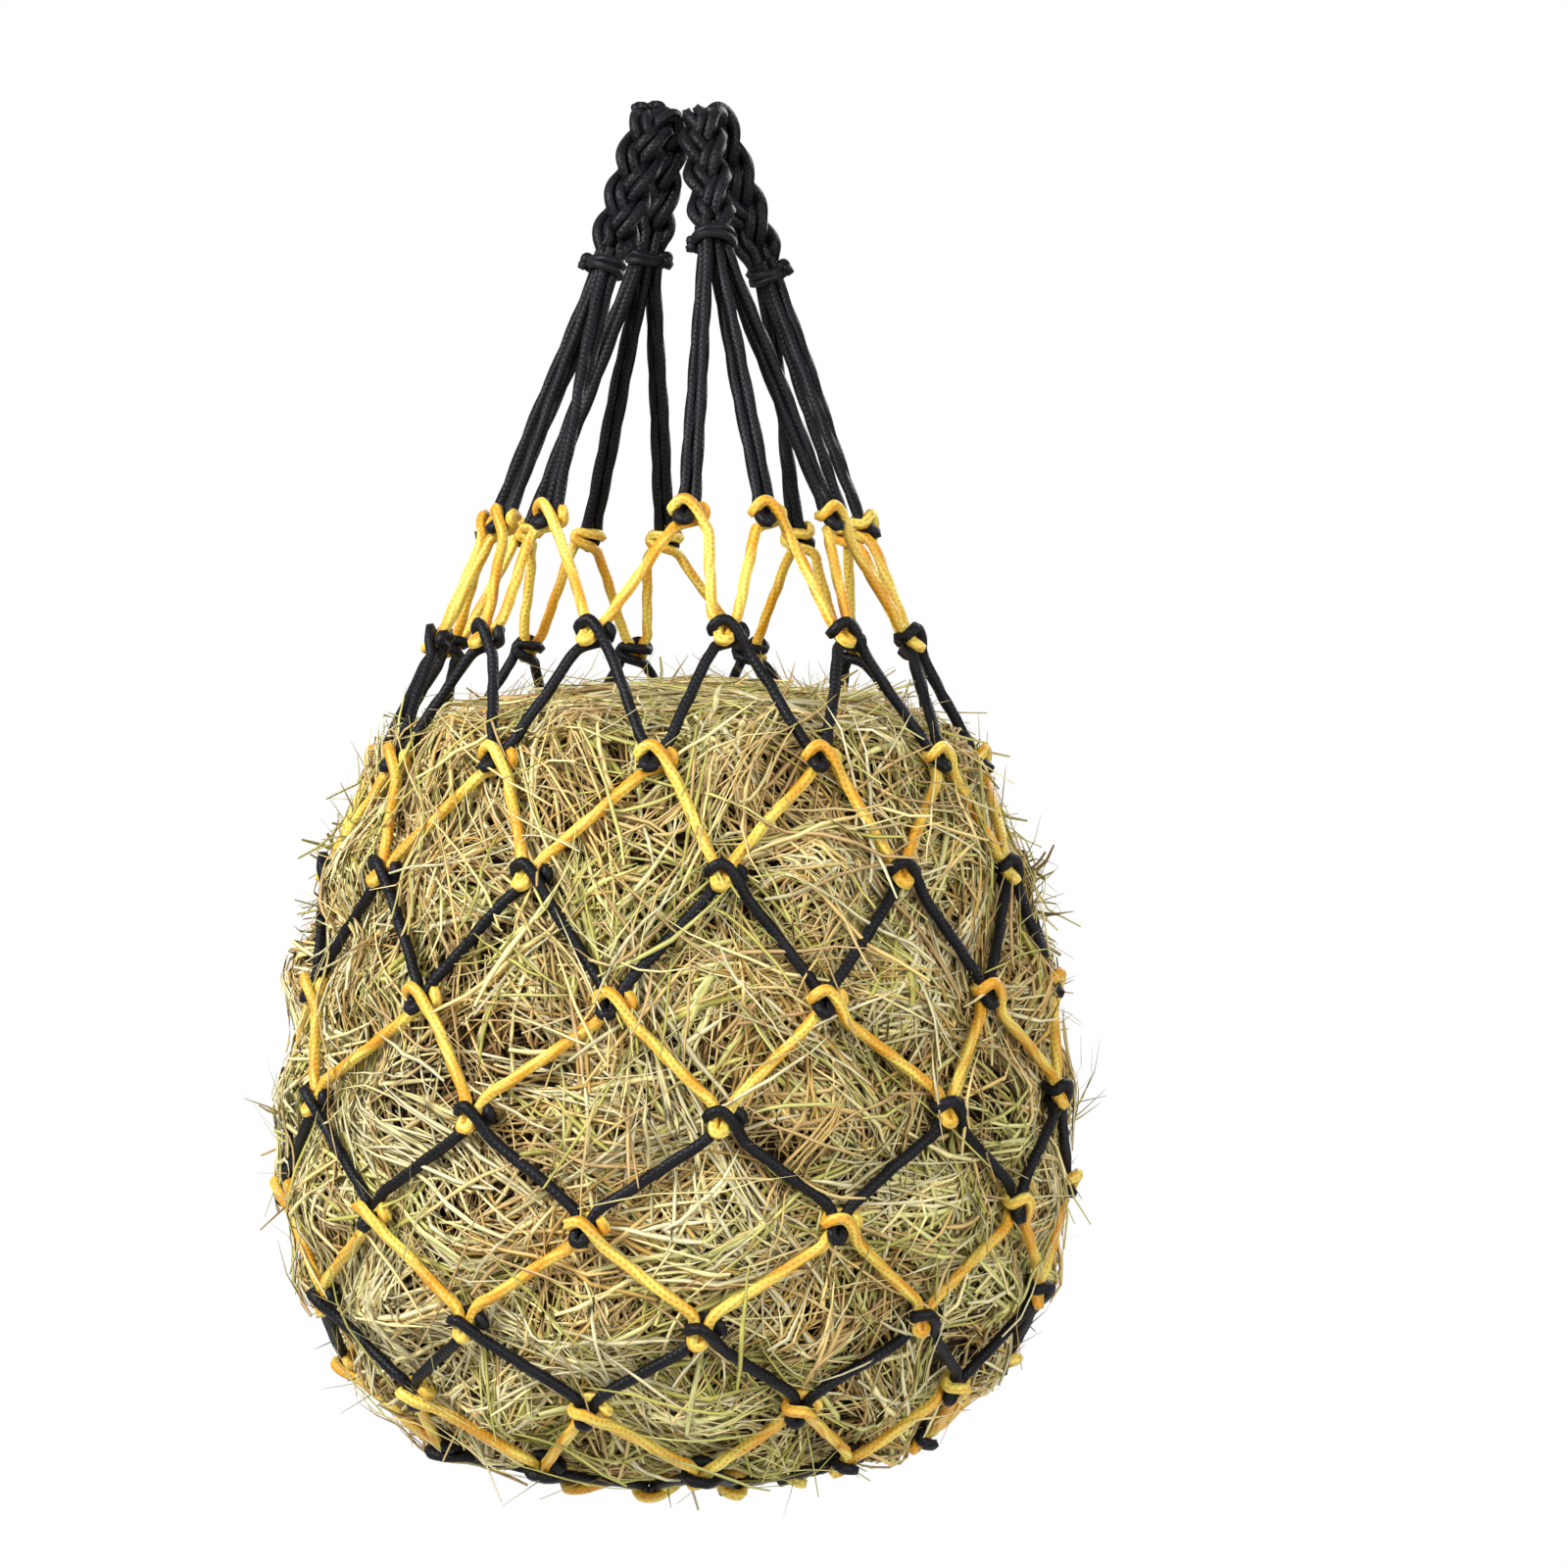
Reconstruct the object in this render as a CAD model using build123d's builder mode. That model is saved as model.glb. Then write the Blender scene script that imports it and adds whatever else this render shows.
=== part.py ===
"""Hay net: hand-knotted cord net with two plaited handles, filled with hay and hanging.

Frame: +Z up, millimetres.  The origin is the seat of the hook, just under the inside of the top
of both handle loops.  X runs from the left handle to the right one, Y along the slit of the mouth.
Angles round the net are in degrees from the front (-Y) toward +X.
"""

from build123d import *
from math import acos, atan2, cos, hypot, radians, sin, tan
import os

OUTPUT = "parts"

# Cord and knots
CORD = 6.0
KNOT_LENGTH = 18.0
KNOT_END_RADIUS = 3.6
KNOT_RADIUS = 6.4
KNOT_COUNT = 12
STEP = 360 / KNOT_COUNT
BESIDE = 3.5  # half the distance of two cords that leave a knot side by side

# Net, from the top down: height, radius and twist of each row of knots
ROWS = (
    (-235, 114, 0),
    (-306, 147, 0),
    (-378, 183, 0),
    (-443, 210, -4),
    (-512, 227, -5),
    (-575, 235, -7),
    (-634, 236, -8),
    (-691, 225, -9.5),
    (-740, 198, -10),
    (-782, 153, -8),
    (-803, 82, -6),
)
MOUTH_ANGLES = (22, 46, 72, 105, 131, 157)  # first row, drawn apart at both ends of the slit
SLACK_ROW = 6  # from this row down the meshes spread wider on one side
SLACK = 8.6
SLACK_SIDE = 17.0
CLOSING_HEIGHT = -806.0
CLOSING_RADIUS = 24.0
CLOSING_CORD = 6.4

# Hay
HAY_GAP = 9.0  # inward from the knots, toward the middle of the ball
HAY_MIDDLE = -590.0
HAY_CROWN = -325.0
HAY_EDGE = -352.0

# Handles: each is a plait of three strands bent over the hook; a strand is two cords laid
# together, held as one round solid of their area
STRAND = 8.6
SWING = 9.4  # of a strand's centre across the plait
LIFT = 7.3  # of a strand's centre through the plait's thickness
APEX = 14.0
ARCH_RADIUS = 18.0
PLAIT_STEPS = 28  # points along a strand, a twelfth of a full plait each
BUNDLE = 5.2  # strand centres from the middle where they are bound
BUNDLE_RUN = 9.0
STRAND_END_RUN = 6.0
HANDLE_BOTTOM = -70.0
BINDING_RADIUS = 13.1
BINDING_KNOT = 10.5
DROP_STRAIGHT = 10.0
DROP_GAP = 10.0
ARC_SHARE = 0.45  # of the shorter run that an arc takes up
HANDLES = {
    # name: X of the arch, X and Y of the bindings, first row's knots of the front and rear leg
    "left": (-11.1, -33.0, 32.0, ((11, 10, 9), (6, 7, 8))),
    "right": (18.5, 40.0, 50.0, ((0, 1, 2), (5, 4, 3))),
}
SLIP = {"left": -8.0, "right": 3.5}  # how far a plait has run over the hook toward the rear


def save(piece, name):
    """Label a finished piece and write it."""
    piece.label = name
    export_step(piece, f"{OUTPUT}/{name}.step")


def knot_angle(row, index):
    """Angle of a knot; rows count from 1 and knots from 0."""
    index %= KNOT_COUNT
    half = KNOT_COUNT // 2
    if row > 1:
        angle = STEP * index + (STEP / 2 if row % 2 else 0)
    elif index < half:
        angle = MOUTH_ANGLES[index]
    else:
        angle = 360 - MOUTH_ANGLES[KNOT_COUNT - 1 - index]
    if row >= SLACK_ROW:
        angle += SLACK * sin(radians(angle - SLACK_SIDE))
    return angle + ROWS[row - 1][2]


def ring_point(radius, angle, height):
    """Point at an angle round the net's axis."""
    return Vector(radius * sin(radians(angle)), -radius * cos(radians(angle)), height)


def along_ring(angle):
    """Unit vector round the net at an angle."""
    return Vector(cos(radians(angle)), sin(radians(angle)), 0)


def knot_centre(row, index):
    """Centre of one knot."""
    height, radius, _ = ROWS[row - 1]
    return ring_point(radius, knot_angle(row, index), height)


def knot_planes(row):
    """A plane at each knot of a row, its X along the row."""
    return [
        Plane(knot_centre(row, i), x_dir=along_ring(knot_angle(row, i)), z_dir=(0, 0, 1))
        for i in range(KNOT_COUNT)
    ]


def tier_bars(row):
    """Start and end of the cords from a row of knots to the next row, or to the closing cord."""
    bars = []
    for i in range(KNOT_COUNT):
        side = along_ring(knot_angle(row, i)) * BESIDE
        for sign in (-1, 1):
            if row == len(ROWS):
                angle = STEP * (i + 0.5) + sign * STEP / 4 + ROWS[-1][2]
                end = ring_point(CLOSING_RADIUS, angle, CLOSING_HEIGHT)
            else:
                lower = i + (sign + (1 if row % 2 else -1)) // 2
                end = knot_centre(row + 1, lower)
                end -= along_ring(knot_angle(row + 1, lower)) * BESIDE * sign
            bars.append((knot_centre(row, i) + side * sign, end))
    return bars


def hay_skin(row):
    """Radius and height of the hay behind a row of knots."""
    height, radius, _ = ROWS[row - 1]
    inward = HAY_GAP / hypot(radius, height - HAY_MIDDLE)
    return radius * (1 - inward), height - (height - HAY_MIDDLE) * inward


def arc_radii(points):
    """Largest tangent arc at each corner of a route, in a fixed share of its shorter run."""
    radii = []
    for before, corner, after in zip(points, points[1:], points[2:]):
        turn = (corner - before).get_angle(after - corner)
        run = min((corner - before).length, (after - corner).length)
        radii.append(ARC_SHARE * run / tan(radians(turn / 2)))
    return radii


def arch_point(run, reach, depth):
    """Across and down from the arch's crown, and the slope, at a run along a handle's middle line.

    reach and depth are where the line ends; the line is an arc over the hook and two tangents.
    """
    below = depth - ARCH_RADIUS
    arc = radians(180) - atan2(reach, below) - acos(ARCH_RADIUS / hypot(reach, below))
    sign = 1 if run > 0 else -1
    angle = sign * min(abs(run) / ARCH_RADIUS, arc)
    rest = max(abs(run) - ARCH_RADIUS * arc, 0)
    across = ARCH_RADIUS * sin(angle) + sign * rest * cos(arc)
    down = ARCH_RADIUS * (1 - cos(angle)) + rest * sin(arc)
    return across, down, angle


def arch_half_length(reach, depth):
    """Half the length of a handle's middle line."""
    below = depth - ARCH_RADIUS
    arc = radians(180) - atan2(reach, below) - acos(ARCH_RADIUS / hypot(reach, below))
    return ARCH_RADIUS * arc + (hypot(reach, below) ** 2 - ARCH_RADIUS**2) ** 0.5


def handle_frame(name):
    """Crown, downward unit vector, width unit vector, reach and depth of one handle."""
    top_x, bottom_x, reach, _ = HANDLES[name]
    crown = Vector(top_x, 0, APEX)
    fall = Vector(bottom_x - top_x, 0, HANDLE_BOTTOM - APEX)
    down = fall.normalized()
    return crown, down, Vector(0, 1, 0).cross(down).normalized(), reach, fall.length


def handle_point(name, run, wide, thick):
    """Point beside a handle's middle line."""
    crown, down, width, reach, depth = handle_frame(name)
    across, fall, angle = arch_point(run + SLIP[name], reach, depth)
    outward = Vector(0, 1, 0) * sin(angle) - down * cos(angle)
    return crown + Vector(0, across, 0) + down * fall + width * wide + outward * thick


def strand_route(name, strand):
    """Points of one strand of a handle's plait, bound to a bundle at both ends."""
    _, _, _, reach, depth = handle_frame(name)
    half = arch_half_length(reach, depth)
    plaited = half - BUNDLE_RUN - STRAND_END_RUN
    points = []
    for end in (-half, STRAND_END_RUN - half):
        phase = radians(30 + 120 * strand)
        points.append(handle_point(name, end, BUNDLE * sin(phase), BUNDLE * sin(2 * phase)))
    for i in range(PLAIT_STEPS):
        phase = radians(45 + 120 * strand + 30 * i)
        run = plaited * ((2 * i + 1) / PLAIT_STEPS - 1)
        points.append(handle_point(name, run, SWING * sin(phase), LIFT * sin(2 * phase)))
    for end in (half - STRAND_END_RUN, half):
        phase = radians(30 + 120 * strand + 30 * PLAIT_STEPS)
        points.append(handle_point(name, end, BUNDLE * sin(phase), BUNDLE * sin(2 * phase)))
    return points


def tube(points, diameter):
    """A round cord along a route of straight runs and tangent arcs."""
    with BuildPart() as cord:
        with BuildLine() as route:
            FilletPolyline(*points, radius=arc_radii(points))
        with BuildSketch(Plane(route.line @ 0, z_dir=route.line % 0)):
            Circle(diameter / 2)
        sweep(path=route.line)
    return cord.part


def leg_end(name, sign):
    """End of a handle's leg and the unit vector along it, sign -1 in front and 1 behind."""
    _, _, _, reach, depth = handle_frame(name)
    half = arch_half_length(reach, depth)
    end = handle_point(name, sign * half, 0, 0)
    return end, (end - handle_point(name, sign * (half - 1), 0, 0)).normalized()


os.makedirs(OUTPUT, exist_ok=True)

# Knot: a barrel that lies along its row
with BuildPart() as knot:
    with BuildSketch(Plane.XZ):
        with BuildLine():
            ends = [(-KNOT_LENGTH / 2, KNOT_END_RADIUS), (KNOT_LENGTH / 2, KNOT_END_RADIUS)]
            feet = [(x, 0) for x, _ in ends]
            ThreePointArc(ends[0], (0, KNOT_RADIUS), ends[1])
            Polyline(ends[0], *feet, ends[1])
        make_face()
    revolve(axis=Axis.X)

# Closing cord: the ring at the bottom that draws the last meshes together
with BuildPart() as closing_cord:
    with Locations((0, 0, CLOSING_HEIGHT)):
        Torus(CLOSING_RADIUS, CLOSING_CORD / 2)
save(closing_cord.part, "closing_cord")

# Rows of knots, and the tier of cord that leaves each row
for row in range(1, len(ROWS) + 1):
    with BuildPart() as row_knots:
        with Locations(*knot_planes(row)):
            add(knot.part)
    save(row_knots.part, f"row_{row:02}_knots")

    with BuildPart() as tier:
        for start, end in tier_bars(row):
            with BuildSketch(Plane(start, z_dir=end - start)):
                Circle(CORD / 2)
            extrude(amount=(end - start).length)
        add(row_knots.part, mode=Mode.SUBTRACT)
        if row == len(ROWS):
            add(closing_cord.part, mode=Mode.SUBTRACT)
        else:
            with Locations(*knot_planes(row + 1)):
                add(knot.part, mode=Mode.SUBTRACT)
    save(tier.part, f"tier_{row:02}_cord")

# Hay: a plain closed filling, inside the cords all round
with BuildPart() as hay_fill:
    with BuildSketch(Plane.XZ):
        with BuildLine():
            skin = [hay_skin(row) for row in range(3, len(ROWS) + 1)]
            upper, lower = hay_skin(2), hay_skin(3)
            share = (HAY_EDGE - upper[1]) / (lower[1] - upper[1])
            edge = (upper[0] + share * (lower[0] - upper[0]), HAY_EDGE)
            crown_bend = (edge[0] / 2, HAY_CROWN + (HAY_EDGE - HAY_CROWN) / 4)
            ThreePointArc((0, HAY_CROWN), crown_bend, edge)
            Polyline(edge, *skin, (0, skin[-1][1]), (0, HAY_CROWN))
        make_face()
    revolve(axis=Axis.Z)
save(hay_fill.part, "hay_fill")

# Handles
for name, (_, _, _, legs) in HANDLES.items():
    for strand in range(3):
        route = strand_route(name, strand)
        save(tube(route, STRAND), f"{name}_plait_strand_{strand + 1}")
        print(f"{name} strand {strand + 1}: smallest arc {min(arc_radii(route)):.1f} mm")

    for leg, sign in (("front", -1), ("rear", 1)):
        foot, heading = leg_end(name, sign)
        with BuildPart() as binding:
            with Locations(Plane(foot, x_dir=(sign, 0, 0), z_dir=heading)):
                Torus(BINDING_RADIUS, CORD / 2)
                with Locations((BINDING_RADIUS, 0, 0)):
                    Sphere(BINDING_KNOT / 2)
        save(binding.part, f"{name}_{leg}_binding")

        knots = [knot_centre(1, i) for i in legs[0 if sign < 0 else 1]]
        fan = knots[-1] - knots[0]
        ends = [strand_route(name, strand)[0 if sign < 0 else -1] for strand in range(3)]
        cords = []
        for start, centre in zip(sorted(ends, key=fan.dot), knots):
            bend = start + heading * DROP_STRAIGHT
            points = [start, bend, centre - (centre - bend).normalized() * DROP_GAP]
            cords.append(tube(points, STRAND))
            print(f"{name} {leg} drop cord: arc {arc_radii(points)[0]:.1f} mm")
        with BuildPart() as drop_cords:
            add(cords)
        save(drop_cords.part, f"{name}_{leg}_drop_cords")
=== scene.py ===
"""Filled hay net: knotted black and yellow cord, two plaited handles and the hay inside."""

import logging
import math
from dataclasses import dataclass
from enum import Enum
from typing import Any, Sequence, Union

import bmesh
import bpy
import numpy as np
from mathutils import Matrix, Vector, noise
from mathutils.kdtree import KDTree


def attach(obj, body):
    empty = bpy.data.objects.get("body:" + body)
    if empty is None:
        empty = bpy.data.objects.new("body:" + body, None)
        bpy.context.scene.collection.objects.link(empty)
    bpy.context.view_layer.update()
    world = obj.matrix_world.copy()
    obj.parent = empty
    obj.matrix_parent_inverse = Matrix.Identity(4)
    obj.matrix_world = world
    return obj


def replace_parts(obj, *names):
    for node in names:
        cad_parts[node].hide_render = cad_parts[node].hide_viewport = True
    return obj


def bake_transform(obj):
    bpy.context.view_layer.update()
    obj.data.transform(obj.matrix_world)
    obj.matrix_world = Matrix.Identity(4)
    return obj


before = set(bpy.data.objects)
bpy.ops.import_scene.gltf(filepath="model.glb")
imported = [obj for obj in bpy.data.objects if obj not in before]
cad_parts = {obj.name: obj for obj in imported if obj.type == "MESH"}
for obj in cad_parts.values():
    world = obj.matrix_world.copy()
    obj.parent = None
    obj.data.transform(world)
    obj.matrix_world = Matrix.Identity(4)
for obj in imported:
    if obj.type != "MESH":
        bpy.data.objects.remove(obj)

log = logging.getLogger("hay_net")
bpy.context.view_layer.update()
MM = 0.001
UV_NAME = "OFBake"
Socket = bpy.types.NodeSocket
Tint = tuple[float, float, float]
Span = tuple[float, float]
Value = Union[Socket, float, Tint, tuple[float, float, float, float]]


# ---------------------------------------------------------------- the net's own measures


@dataclass(frozen=True)
class NetShape:
    """Places of the knots: the same driving values as the CAD model's, in metres.

    Attributes:
        rows: height, radius and twist in degrees of each row of knots, from the top.
        mouth_angles: half of the first row, drawn apart at the slit of the mouth.
        knots: how many knots a row has.
        slack_row: from this row down the meshes spread wider on one side.
        slack: how far they do, in degrees.
        slack_side: the side, in degrees from the front.
        closing_height: height of the closing cord.
        closing_radius: radius of its ring.
        foot_radius: where the net's slope under the last row points to.
    """

    rows: tuple[tuple[float, float, float], ...] = (
        (-0.235, 0.114, 0),
        (-0.306, 0.147, 0),
        (-0.378, 0.183, 0),
        (-0.443, 0.210, -4),
        (-0.512, 0.227, -5),
        (-0.575, 0.235, -7),
        (-0.634, 0.236, -8),
        (-0.691, 0.225, -9.5),
        (-0.740, 0.198, -10),
        (-0.782, 0.153, -8),
        (-0.803, 0.082, -6),
    )
    mouth_angles: tuple[float, ...] = (22, 46, 72, 105, 131, 157)
    knots: int = 12
    slack_row: int = 6
    slack: float = 8.6
    slack_side: float = 17.0
    closing_height: float = -0.806
    closing_radius: float = 0.024
    foot_radius: float = 0.03

    @property
    def step(self) -> float:
        """Angle between two knots of a row."""
        return 360 / self.knots

    def angle(self, row: int, index: int) -> float:
        """Angle of a knot from the front toward +X, in degrees.

        Args:
            row: the row, counted from 1.
            index: the knot, counted from 0 and taken round.

        Returns:
            The angle.
        """
        index %= self.knots
        if row > 1:
            angle = self.step * index + (self.step / 2 if row % 2 else 0)
        elif index < self.knots // 2:
            angle = self.mouth_angles[index]
        else:
            angle = 360 - self.mouth_angles[self.knots - 1 - index]
        if row >= self.slack_row:
            angle += self.slack * math.sin(math.radians(angle - self.slack_side))
        return angle + self.rows[row - 1][2]

    def on_ring(self, radius: float, angle: float, height: float) -> Vector:
        """Point at an angle round the net's axis."""
        turn = math.radians(angle)
        return Vector((radius * math.sin(turn), -radius * math.cos(turn), height))

    def place(self, row: int, index: int) -> Matrix:
        """Frame of a knot: X along its row, Y out of the net, Z up along the net.

        Args:
            row: the row, counted from 1.
            index: the knot, counted from 0 and taken round.

        Returns:
            The frame.
        """
        height, radius, _ = self.rows[row - 1]
        above = self.rows[max(row - 2, 0)]
        foot = (self.closing_height, self.foot_radius, 0)
        below = self.rows[row] if row < len(self.rows) else foot
        turn = math.radians(self.angle(row, index))
        across = Vector((math.cos(turn), math.sin(turn), 0))
        rise = Vector((above[1] - below[1], above[0] - below[0])).normalized()
        up = Vector((math.sin(turn) * rise.x, -math.cos(turn) * rise.x, rise.y))
        out = across.cross(up).normalized()
        frame_axes = Matrix((across, out, up)).transposed().to_4x4()
        centre = self.on_ring(radius, self.angle(row, index), height)
        return Matrix.Translation(centre) @ frame_axes

    def below(self, row: int, index: int, side: int) -> int:
        """Index of the knot below to the left (side -1) or right (side 1)."""
        return index + (side + (1 if row % 2 else -1)) // 2


NET = NetShape()


# ---------------------------------------------------------------- finishes


class Shader:
    """A material under construction: thin helpers over its node tree."""

    def __init__(self, name: str) -> None:
        """Start a material of that name with an empty Principled shader.

        Args:
            name: of the material.
        """
        self.material = bpy.data.materials.new(name)
        self.material.use_nodes = True
        self.tree = self.material.node_tree
        self.surface = self.tree.nodes["Principled BSDF"]

    def add(
        self, kind: str, links: dict[int | str, Value] | None = None, **settings: Any
    ) -> bpy.types.Node:
        """Add a node, set its properties and feed its inputs.

        Args:
            kind: the node's type, without its ShaderNode prefix.
            links: input name or index to a socket or a constant.
            **settings: the node's own properties.

        Returns:
            The new node.
        """
        node = self.tree.nodes.new("ShaderNode" + kind)
        for key, value in settings.items():
            setattr(node, key, value)
        for key, value in (links or {}).items():
            self.feed(node.inputs[key], value)
        return node

    def feed(self, socket: Socket, value: Value) -> None:
        """Link a socket to another, or set it to a constant.

        Args:
            socket: the input.
            value: an output, or a constant.
        """
        if isinstance(value, Socket):
            self.tree.links.new(value, socket)
        else:
            socket.default_value = value

    def math(self, operation: str, *values: Value) -> Socket:
        """Add a Math node.

        Args:
            operation: what it does.
            *values: its operands.

        Returns:
            Its result.
        """
        node = self.add("Math", operation=operation)
        for socket, value in zip(node.inputs, values):
            self.feed(socket, value)
        return node.outputs[0]

    def uv(self) -> tuple[Socket, Socket]:
        """The piece's own map, along and across."""
        split = self.add("SeparateXYZ", {0: self.add("UVMap", uv_map=UV_NAME).outputs[0]})
        return split.outputs[0], split.outputs[1]

    def rescale(self, value: Value, source: Span, target: Span) -> Socket:
        """Carry a value from one range to another and hold it there.

        Args:
            value: what is carried.
            source: the range it comes in.
            target: the range it leaves in.

        Returns:
            The new value.
        """
        ends = dict(enumerate((value, *source, *target)))
        return self.add("MapRange", ends).outputs[0]

    def vector(self, *values: Value) -> Socket:
        """Up to three values as one vector."""
        return self.add("CombineXYZ", dict(enumerate(values))).outputs[0]

    def ramp(
        self, factor: Value, stops: Sequence[tuple[float, Tint]], mode: str = "LINEAR"
    ) -> Socket:
        """Add a colour ramp.

        Args:
            factor: where in the ramp to look.
            stops: position and colour of each stop.
            mode: how the colours run into each other.

        Returns:
            The colour found.
        """
        node = self.add("ValToRGB", {0: factor})
        node.color_ramp.interpolation = mode
        elements = node.color_ramp.elements
        while len(elements) < len(stops):
            elements.new(0.5)
        for element, (position, colour) in zip(elements, sorted(stops)):
            element.position = position
            element.color = (*colour, 1)
        return node.outputs[0]

    def mix(self, factor: Value, first: Value, second: Value, blend: str = "MIX") -> Socket:
        """Mix two colours.

        Args:
            factor: share of the second one.
            first: a colour.
            second: a colour.
            blend: how they are mixed.

        Returns:
            The mixed colour.
        """
        node = self.add("Mix", data_type="RGBA", blend_type=blend)
        for index, value in ((0, factor), (6, first), (7, second)):
            self.feed(node.inputs[index], value)
        return node.outputs[2]

    def finish(self, roughness: Value, gloss: float, height: Socket, depth: float) -> None:
        """Set how the surface takes light.

        Args:
            roughness: of the surface.
            gloss: strength of its reflection.
            height: the relief.
            depth: how deep the relief is, in metres.
        """
        node = self.add("Bump", {"Height": height, "Distance": depth, "Strength": 1.0})
        self.feed(self.surface.inputs["Normal"], node.outputs[0])
        self.feed(self.surface.inputs["Roughness"], roughness)
        self.surface.inputs["Specular IOR Level"].default_value = gloss


@dataclass(frozen=True)
class CordFinish:
    """Braided cord of one colour.

    Attributes:
        name: the material's name.
        deep: painted shade, the colour that the grooves of the braid darken to.
        face: colour on the yarns.
        highlight_tint: painted highlight, the paler colour laid on in random patches.
        roughness: of the yarns.
        sheen: weight of the soft sheen.
        gloss: strength of the reflection.
        tile: length after which the pattern repeats.
        plaits: yarns along a tile.
        carriers: yarns round the cord.
        ribs: bundles of yarn round the cord.
        patch_reach: how fast the patches of painted highlight change along and round the cord.
        patch_scale: of their noise.
        patch_range: noise at which the cord is all face colour and all painted highlight.
        rib_weight: of the bundles against the yarns in the shade of the grooves.
        shade_range: sum of both at which a groove is darkest and at which there is none.
        groove_light: share of the colour that a groove keeps under its painted shade.
        matt: added roughness between the yarns.
        relief: height of the yarns.
    """

    name: str
    # painted shade: the colour that the grooves between yarns and bundles darken to
    deep: Tint
    face: Tint
    # painted highlight: the paler colour laid on the cord in random patches
    highlight_tint: Tint
    roughness: float
    sheen: float
    gloss: float
    tile: float = 0.36
    plaits: int = 100
    carriers: float = 3.0
    ribs: float = 5.0
    patch_reach: Span = (1.1, 0.30)
    patch_scale: float = 1.6
    patch_range: Span = (0.42, 0.60)
    rib_weight: float = 1.2
    shade_range: Span = (0.3, 1.6)
    groove_light: float = 0.25
    matt: float = 0.15
    relief: float = 0.00035

    def material(self) -> bpy.types.Material:
        """Build the material.

        The map runs along the cord in tiles of a fixed length and once round it, so every
        pattern repeats a whole number of times in a tile.

        Returns:
            The material.
        """
        s = Shader(self.name)
        along, around = s.uv()
        waves = []
        for sign in (1.0, -1.0):
            phase = s.math(
                "ADD",
                s.math("MULTIPLY", along, float(self.plaits)),
                s.math("MULTIPLY", around, sign * self.carriers),
            )
            waves.append(s.math("ABSOLUTE", s.math("SINE", s.math("MULTIPLY", phase, math.pi))))
        yarn = s.math("MULTIPLY", s.math("ADD", *waves), 0.5)
        circle = []
        for coordinate, reach in zip((along, around), self.patch_reach):
            turn = s.math("MULTIPLY", coordinate, math.tau)
            circle += [
                s.math("MULTIPLY", s.math("COSINE", turn), reach),
                s.math("MULTIPLY", s.math("SINE", turn), reach),
            ]
        patch = s.add(
            "TexNoise",
            {
                "Vector": s.vector(*circle[:3]),
                "W": circle[3],
                "Scale": self.patch_scale,
                "Detail": 4.0,
            },
            noise_dimensions="4D",
        )
        # random patches of painted highlight over the face colour
        highlight_share = s.rescale(patch.outputs[0], self.patch_range, (0.0, 1.0))
        colour = s.mix(highlight_share, (*self.face, 1), (*self.highlight_tint, 1))
        # painted shade: the colour darkens toward the groove tint between the yarns and between the
        # bundles
        rib = s.math("COSINE", s.math("MULTIPLY", around, math.pi * self.ribs))
        rib = s.math("MULTIPLY", s.math("ABSOLUTE", rib), self.rib_weight)
        shade = s.rescale(s.math("ADD", yarn, rib), self.shade_range, (self.groove_light, 1.0))
        colour = s.mix(shade, (*self.deep, 1), colour)
        s.feed(s.surface.inputs["Base Color"], colour)
        rough = s.rescale(yarn, (0.0, 1.0), (self.roughness + self.matt, self.roughness))
        s.surface.inputs["Sheen Weight"].default_value = self.sheen
        s.surface.inputs["Sheen Roughness"].default_value = 0.4
        s.finish(rough, self.gloss, yarn, self.relief)
        return s.material


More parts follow.
